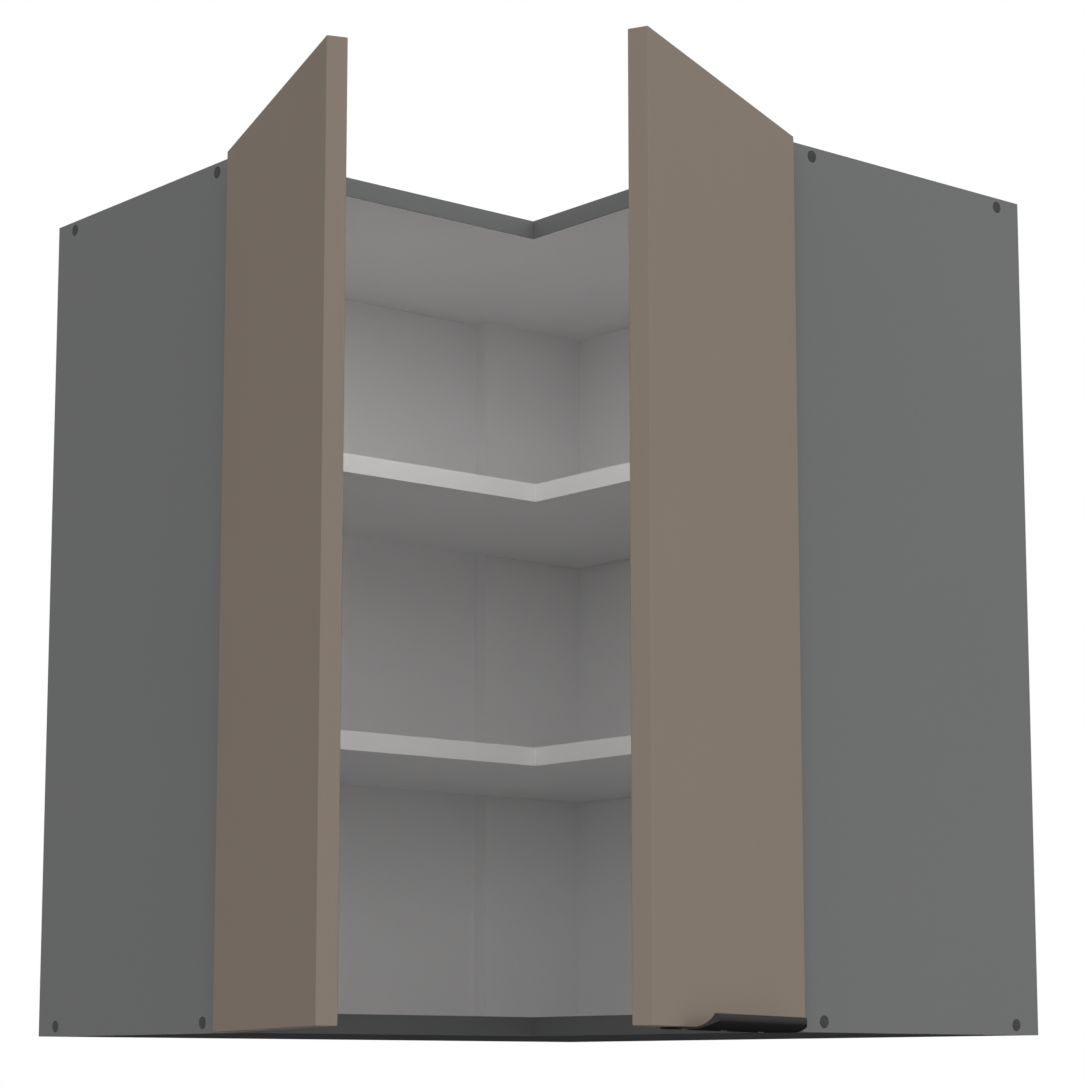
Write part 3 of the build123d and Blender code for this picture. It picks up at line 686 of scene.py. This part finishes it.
pot = ((0, -9.7), (5.2, -9.7), (5.8, -10.3), (14.6, -10.3), (15.8, -9.8), (16.2, -8.8),
       (16.2, 0.2), (16.4, 0.7), (16.9, 1.0), (17.6, 1.0), (18.0, 0.8), (19.2, 0.8),
       (19.5, 0.5), (19.5, 0), (17.4, 0), (17.4, -10.0), (16.9, -11.1), (15.8, -11.5), (0, -11.5))
for side in swing:
    ear = [(-5.5, 17.8), (5.5, 17.8)] + arc(0, ear_reach, 5.5, 0, 180)
    below = plate([(-x, -y) for x, y in ear], 0, ear_sheet)
    tongue = plate(((-20.7, -5.9), (-16.6, -5.9), (-16.6, 5.9), (-20.7, 5.9)), 0, 0.95)
    middle_knuckle = upended(knuckle(-6, 6))
    bmesh.ops.translate(middle_knuckle, vec=(-cup_from_hinge * mm, 0, 0),
                        verts=middle_knuckle.verts)
    cup = together(turned(pot, 48), plate(ear, 0, ear_sheet), below, tongue, middle_knuckle)
    cups = [seat(on_door(side, cup_from_hinge, up), -outward[side], along[side])
            for up in hinge_heights]
    piece(f"{side}_pressed_cups", cup, cups, nickel, "nickel_plated_steel", f"{side}_door",
          f"{side}_hinge_cups")
    flat_head = screw([(2.2, 1.10), (2.9, 1.05), (3.6, 0.55), (3.8, 0.10), (3.8, 0)]
                      + threaded(2.0, 0, 11), 1.8, 1.4)
    ears = [seat(on_door(side, cup_from_hinge, up + way, -cup_screw_sink), -outward[side], upward)
            for up in hinge_heights for way in (-ear_reach, ear_reach)]
    piece(f"{side}_cup_wood_screws", flat_head, ears, zinc, "zinc_plated_steel", f"{side}_door",
          f"{side}_cup_screws")


# Hinge arms: folded and nickel plated steel. The fork in front of the side panel's edge holds
# the two outer knuckles, and the channel lies over a mounting plate inside the cabinet.
axis_z = {side: (-endward[side]).cross(forward[side]) for side in swing}
plate_screw_reach = 16
plate_front = board + 2
arm_screw_from_wall = 243
arm_front = 23.2
for side in swing:
    fork = plate(((0, 14.5), (8.5, 14.5), (12.5, 10.5), (13.5, 7.5), (13.5, -7.5),
                  (12.5, -10.5), (8.5, -14.5), (0, -14.5), (0, -6.4), (2.7, -6.4), (2.7, 6.4),
                  (0, 6.4)), 1.5, 2.7)
    channel = plate(((12.0, -2.4), (13.2, -2.7), (19.0, -2.7), (19.7, -3.0), (20.0, -3.7),
                     (20.0, -54.8), (21.2, -54.8), (21.2, -3.4), (20.9, -2.3), (20.3, -1.7),
                     (19.3, -1.5), (13.2, -1.5), (12.0, -1.8)), -7.5, 7.5)
    cheek = ((20.8, -9.2), (19.6, -9.6), (17.4, -13.0), (16.4, -16.0), (16.4, -50.0),
             (17.6, -53.0), (20.8, -54.6))
    hinge_arm = together(
        upended(fork), channel, plate(cheek, 6.2, 7.4), plate(cheek, -7.4, -6.2),
        knuckle(6.4, 14.4), knuckle(-14.4, -6.4))
    arms = [seat(on_end(side, hinge_from_wall, up, hinge_inside), axis_z[side], -endward[side])
            for up in hinge_heights]
    piece(f"{side}_folded_arms", hinge_arm, arms, nickel, "nickel_plated_steel", "carcass",
          f"{side}_hinge_arms")

    wing = (arc(2.5, 18, 4, 0, 90) + arc(-2.5, 18, 4, 90, 180) + arc(-2.5, -18, 4, 180, 270)
            + arc(2.5, -18, 4, 270, 360))
    spine = ((-17, -4.5), (-15.5, -6), (15.5, -6), (17, -4.5), (17, 4.5), (15.5, 6), (-15.5, 6),
             (-17, 4.5))
    mounting = together(plate(wing, 0, 2, 0.5), plate(spine, 0, 4.5, 0.6))
    mountings = [seat(on_end(side, front_row, up, board), -endward[side], forward[side])
                 for up in hinge_heights]
    piece(f"{side}_mounting_crosses", mounting, mountings, nickel, "nickel_plated_steel",
          "carcass", f"{side}_hinge_plates")

    plate_screw = screw([(2.3, 1.70), (3.0, 1.60), (3.8, 0.90), (4.0, 0.40), (4.0, 0)]
                        + threaded(2.4, 0, 12), 1.9, 1.6)
    plate_spots = [seat(on_end(side, front_row, up + way, plate_front), -endward[side], upward)
                   for up in hinge_heights for way in (-plate_screw_reach, plate_screw_reach)]
    piece(f"{side}_mounting_screws", plate_screw, plate_spots, nickel, "nickel_plated_steel",
          "carcass", f"{side}_plate_screws")
    arm_screw = screw([(2.1, 1.50), (2.8, 1.40), (3.4, 0.90), (3.6, 0.40), (3.6, 0)]
                      + threaded(2.2, 0, 6.6), 1.8, 1.3)
    arm_spots = [seat(on_end(side, arm_screw_from_wall, up, arm_front), -endward[side], upward)
                 for up in hinge_heights]
    piece(f"{side}_fixing_screws", arm_screw, arm_spots, nickel, "nickel_plated_steel",
          "carcass", f"{side}_arm_screws")

    rivet = turned(((0, 15.1), (1.1, 15.1), (1.8, 14.9), (2.1, 14.5), (1.25, 14.5),
                    (1.25, -14.5), (2.1, -14.5), (1.8, -14.9), (1.1, -15.1), (0, -15.1)), 24)
    rivets = [seat(on_end(side, hinge_from_wall, up, hinge_inside), upward, forward[side])
              for up in hinge_heights]
    piece(f"{side}_riveted_pins", rivet, rivets, zinc, "zinc_plated_steel", "carcass",
          f"{side}_hinge_pins")


# Door bumpers: clear soft pads of cast plastic, domed and self adhesive. Two of them sit on
# the inner face of each door, near its free edge, and soften the closing.
pad_tint = (0.88, 0.89, 0.90)
pad_from_edge = 12
pad_heights = (8, 708)
clear_pads, start = begin("clear_pads")
point = place(start)
haze = cloud(point, 0.8, 2.0)
finish(start, shade(pad_tint, haze * 0.06 + 0.94), haze * 0.12 + 0.08,
       bumps(haze, 0.02), transmission_weight=0.85)
pad_outline = ((0, 2.20), (1.3, 2.12), (2.4, 1.80), (3.2, 1.20), (3.7, 0.55), (4.0, 0), (0, 0))
for side in swing:
    pads = [seat(on_door(side, door_width[side] - pad_from_edge, up), -outward[side], upward)
            for up in pad_heights]
    piece(f"{side}_domed_pads", turned(pad_outline), pads, clear_pads, "clear_pads",
          f"{side}_door", f"{side}_door_bumpers")


# Edge handle: an extruded aluminium profile, brushed along its length and anodised black. It
# lies under the right door, held by three countersunk screws, and curls up in front of it.
brushed_way = swing["right"] - 180
profile_tone = (0.029, 0.029, 0.030)
profile_middle = door_width["right"] / 2
profile_screws = (-72, 0, 72)
profile_under = -1.5
black_profile, start = begin("black_profile")
point = place(start)
turned_point = point.node("ShaderNodeMapping", sockets={
    "Vector": point, "Rotation": (0, 0, -math.radians(brushed_way))})
lines = cloud(drawn_out(turned_point, x=0.02), 0.25, 3.0)
bloom = cloud(point, 14)
finish(start, shade(profile_tone, lines * 0.24 + bloom * 0.08 + 0.84),
       lines * 0.2 + 0.32, bumps(lines, 0.008), specular_ior_level=0.0)
dress("edge_handle", black_profile)

sunk_screw = screw([(2.0, -0.05), (3.2, -0.05), (3.35, -0.15), (1.85, -1.50)]
                   + threaded(1.75, -1.5, 11), 1.6, 1.1)
handle_spots = [seat(on_door("right", profile_middle + way, profile_under, board / 2), -upward,
                     Vector((1, 0, 0))) for way in profile_screws]
piece("handle_sunk_screws", sunk_screw, handle_spots, zinc, "zinc_plated_steel", "right_door",
      "handle_screws")
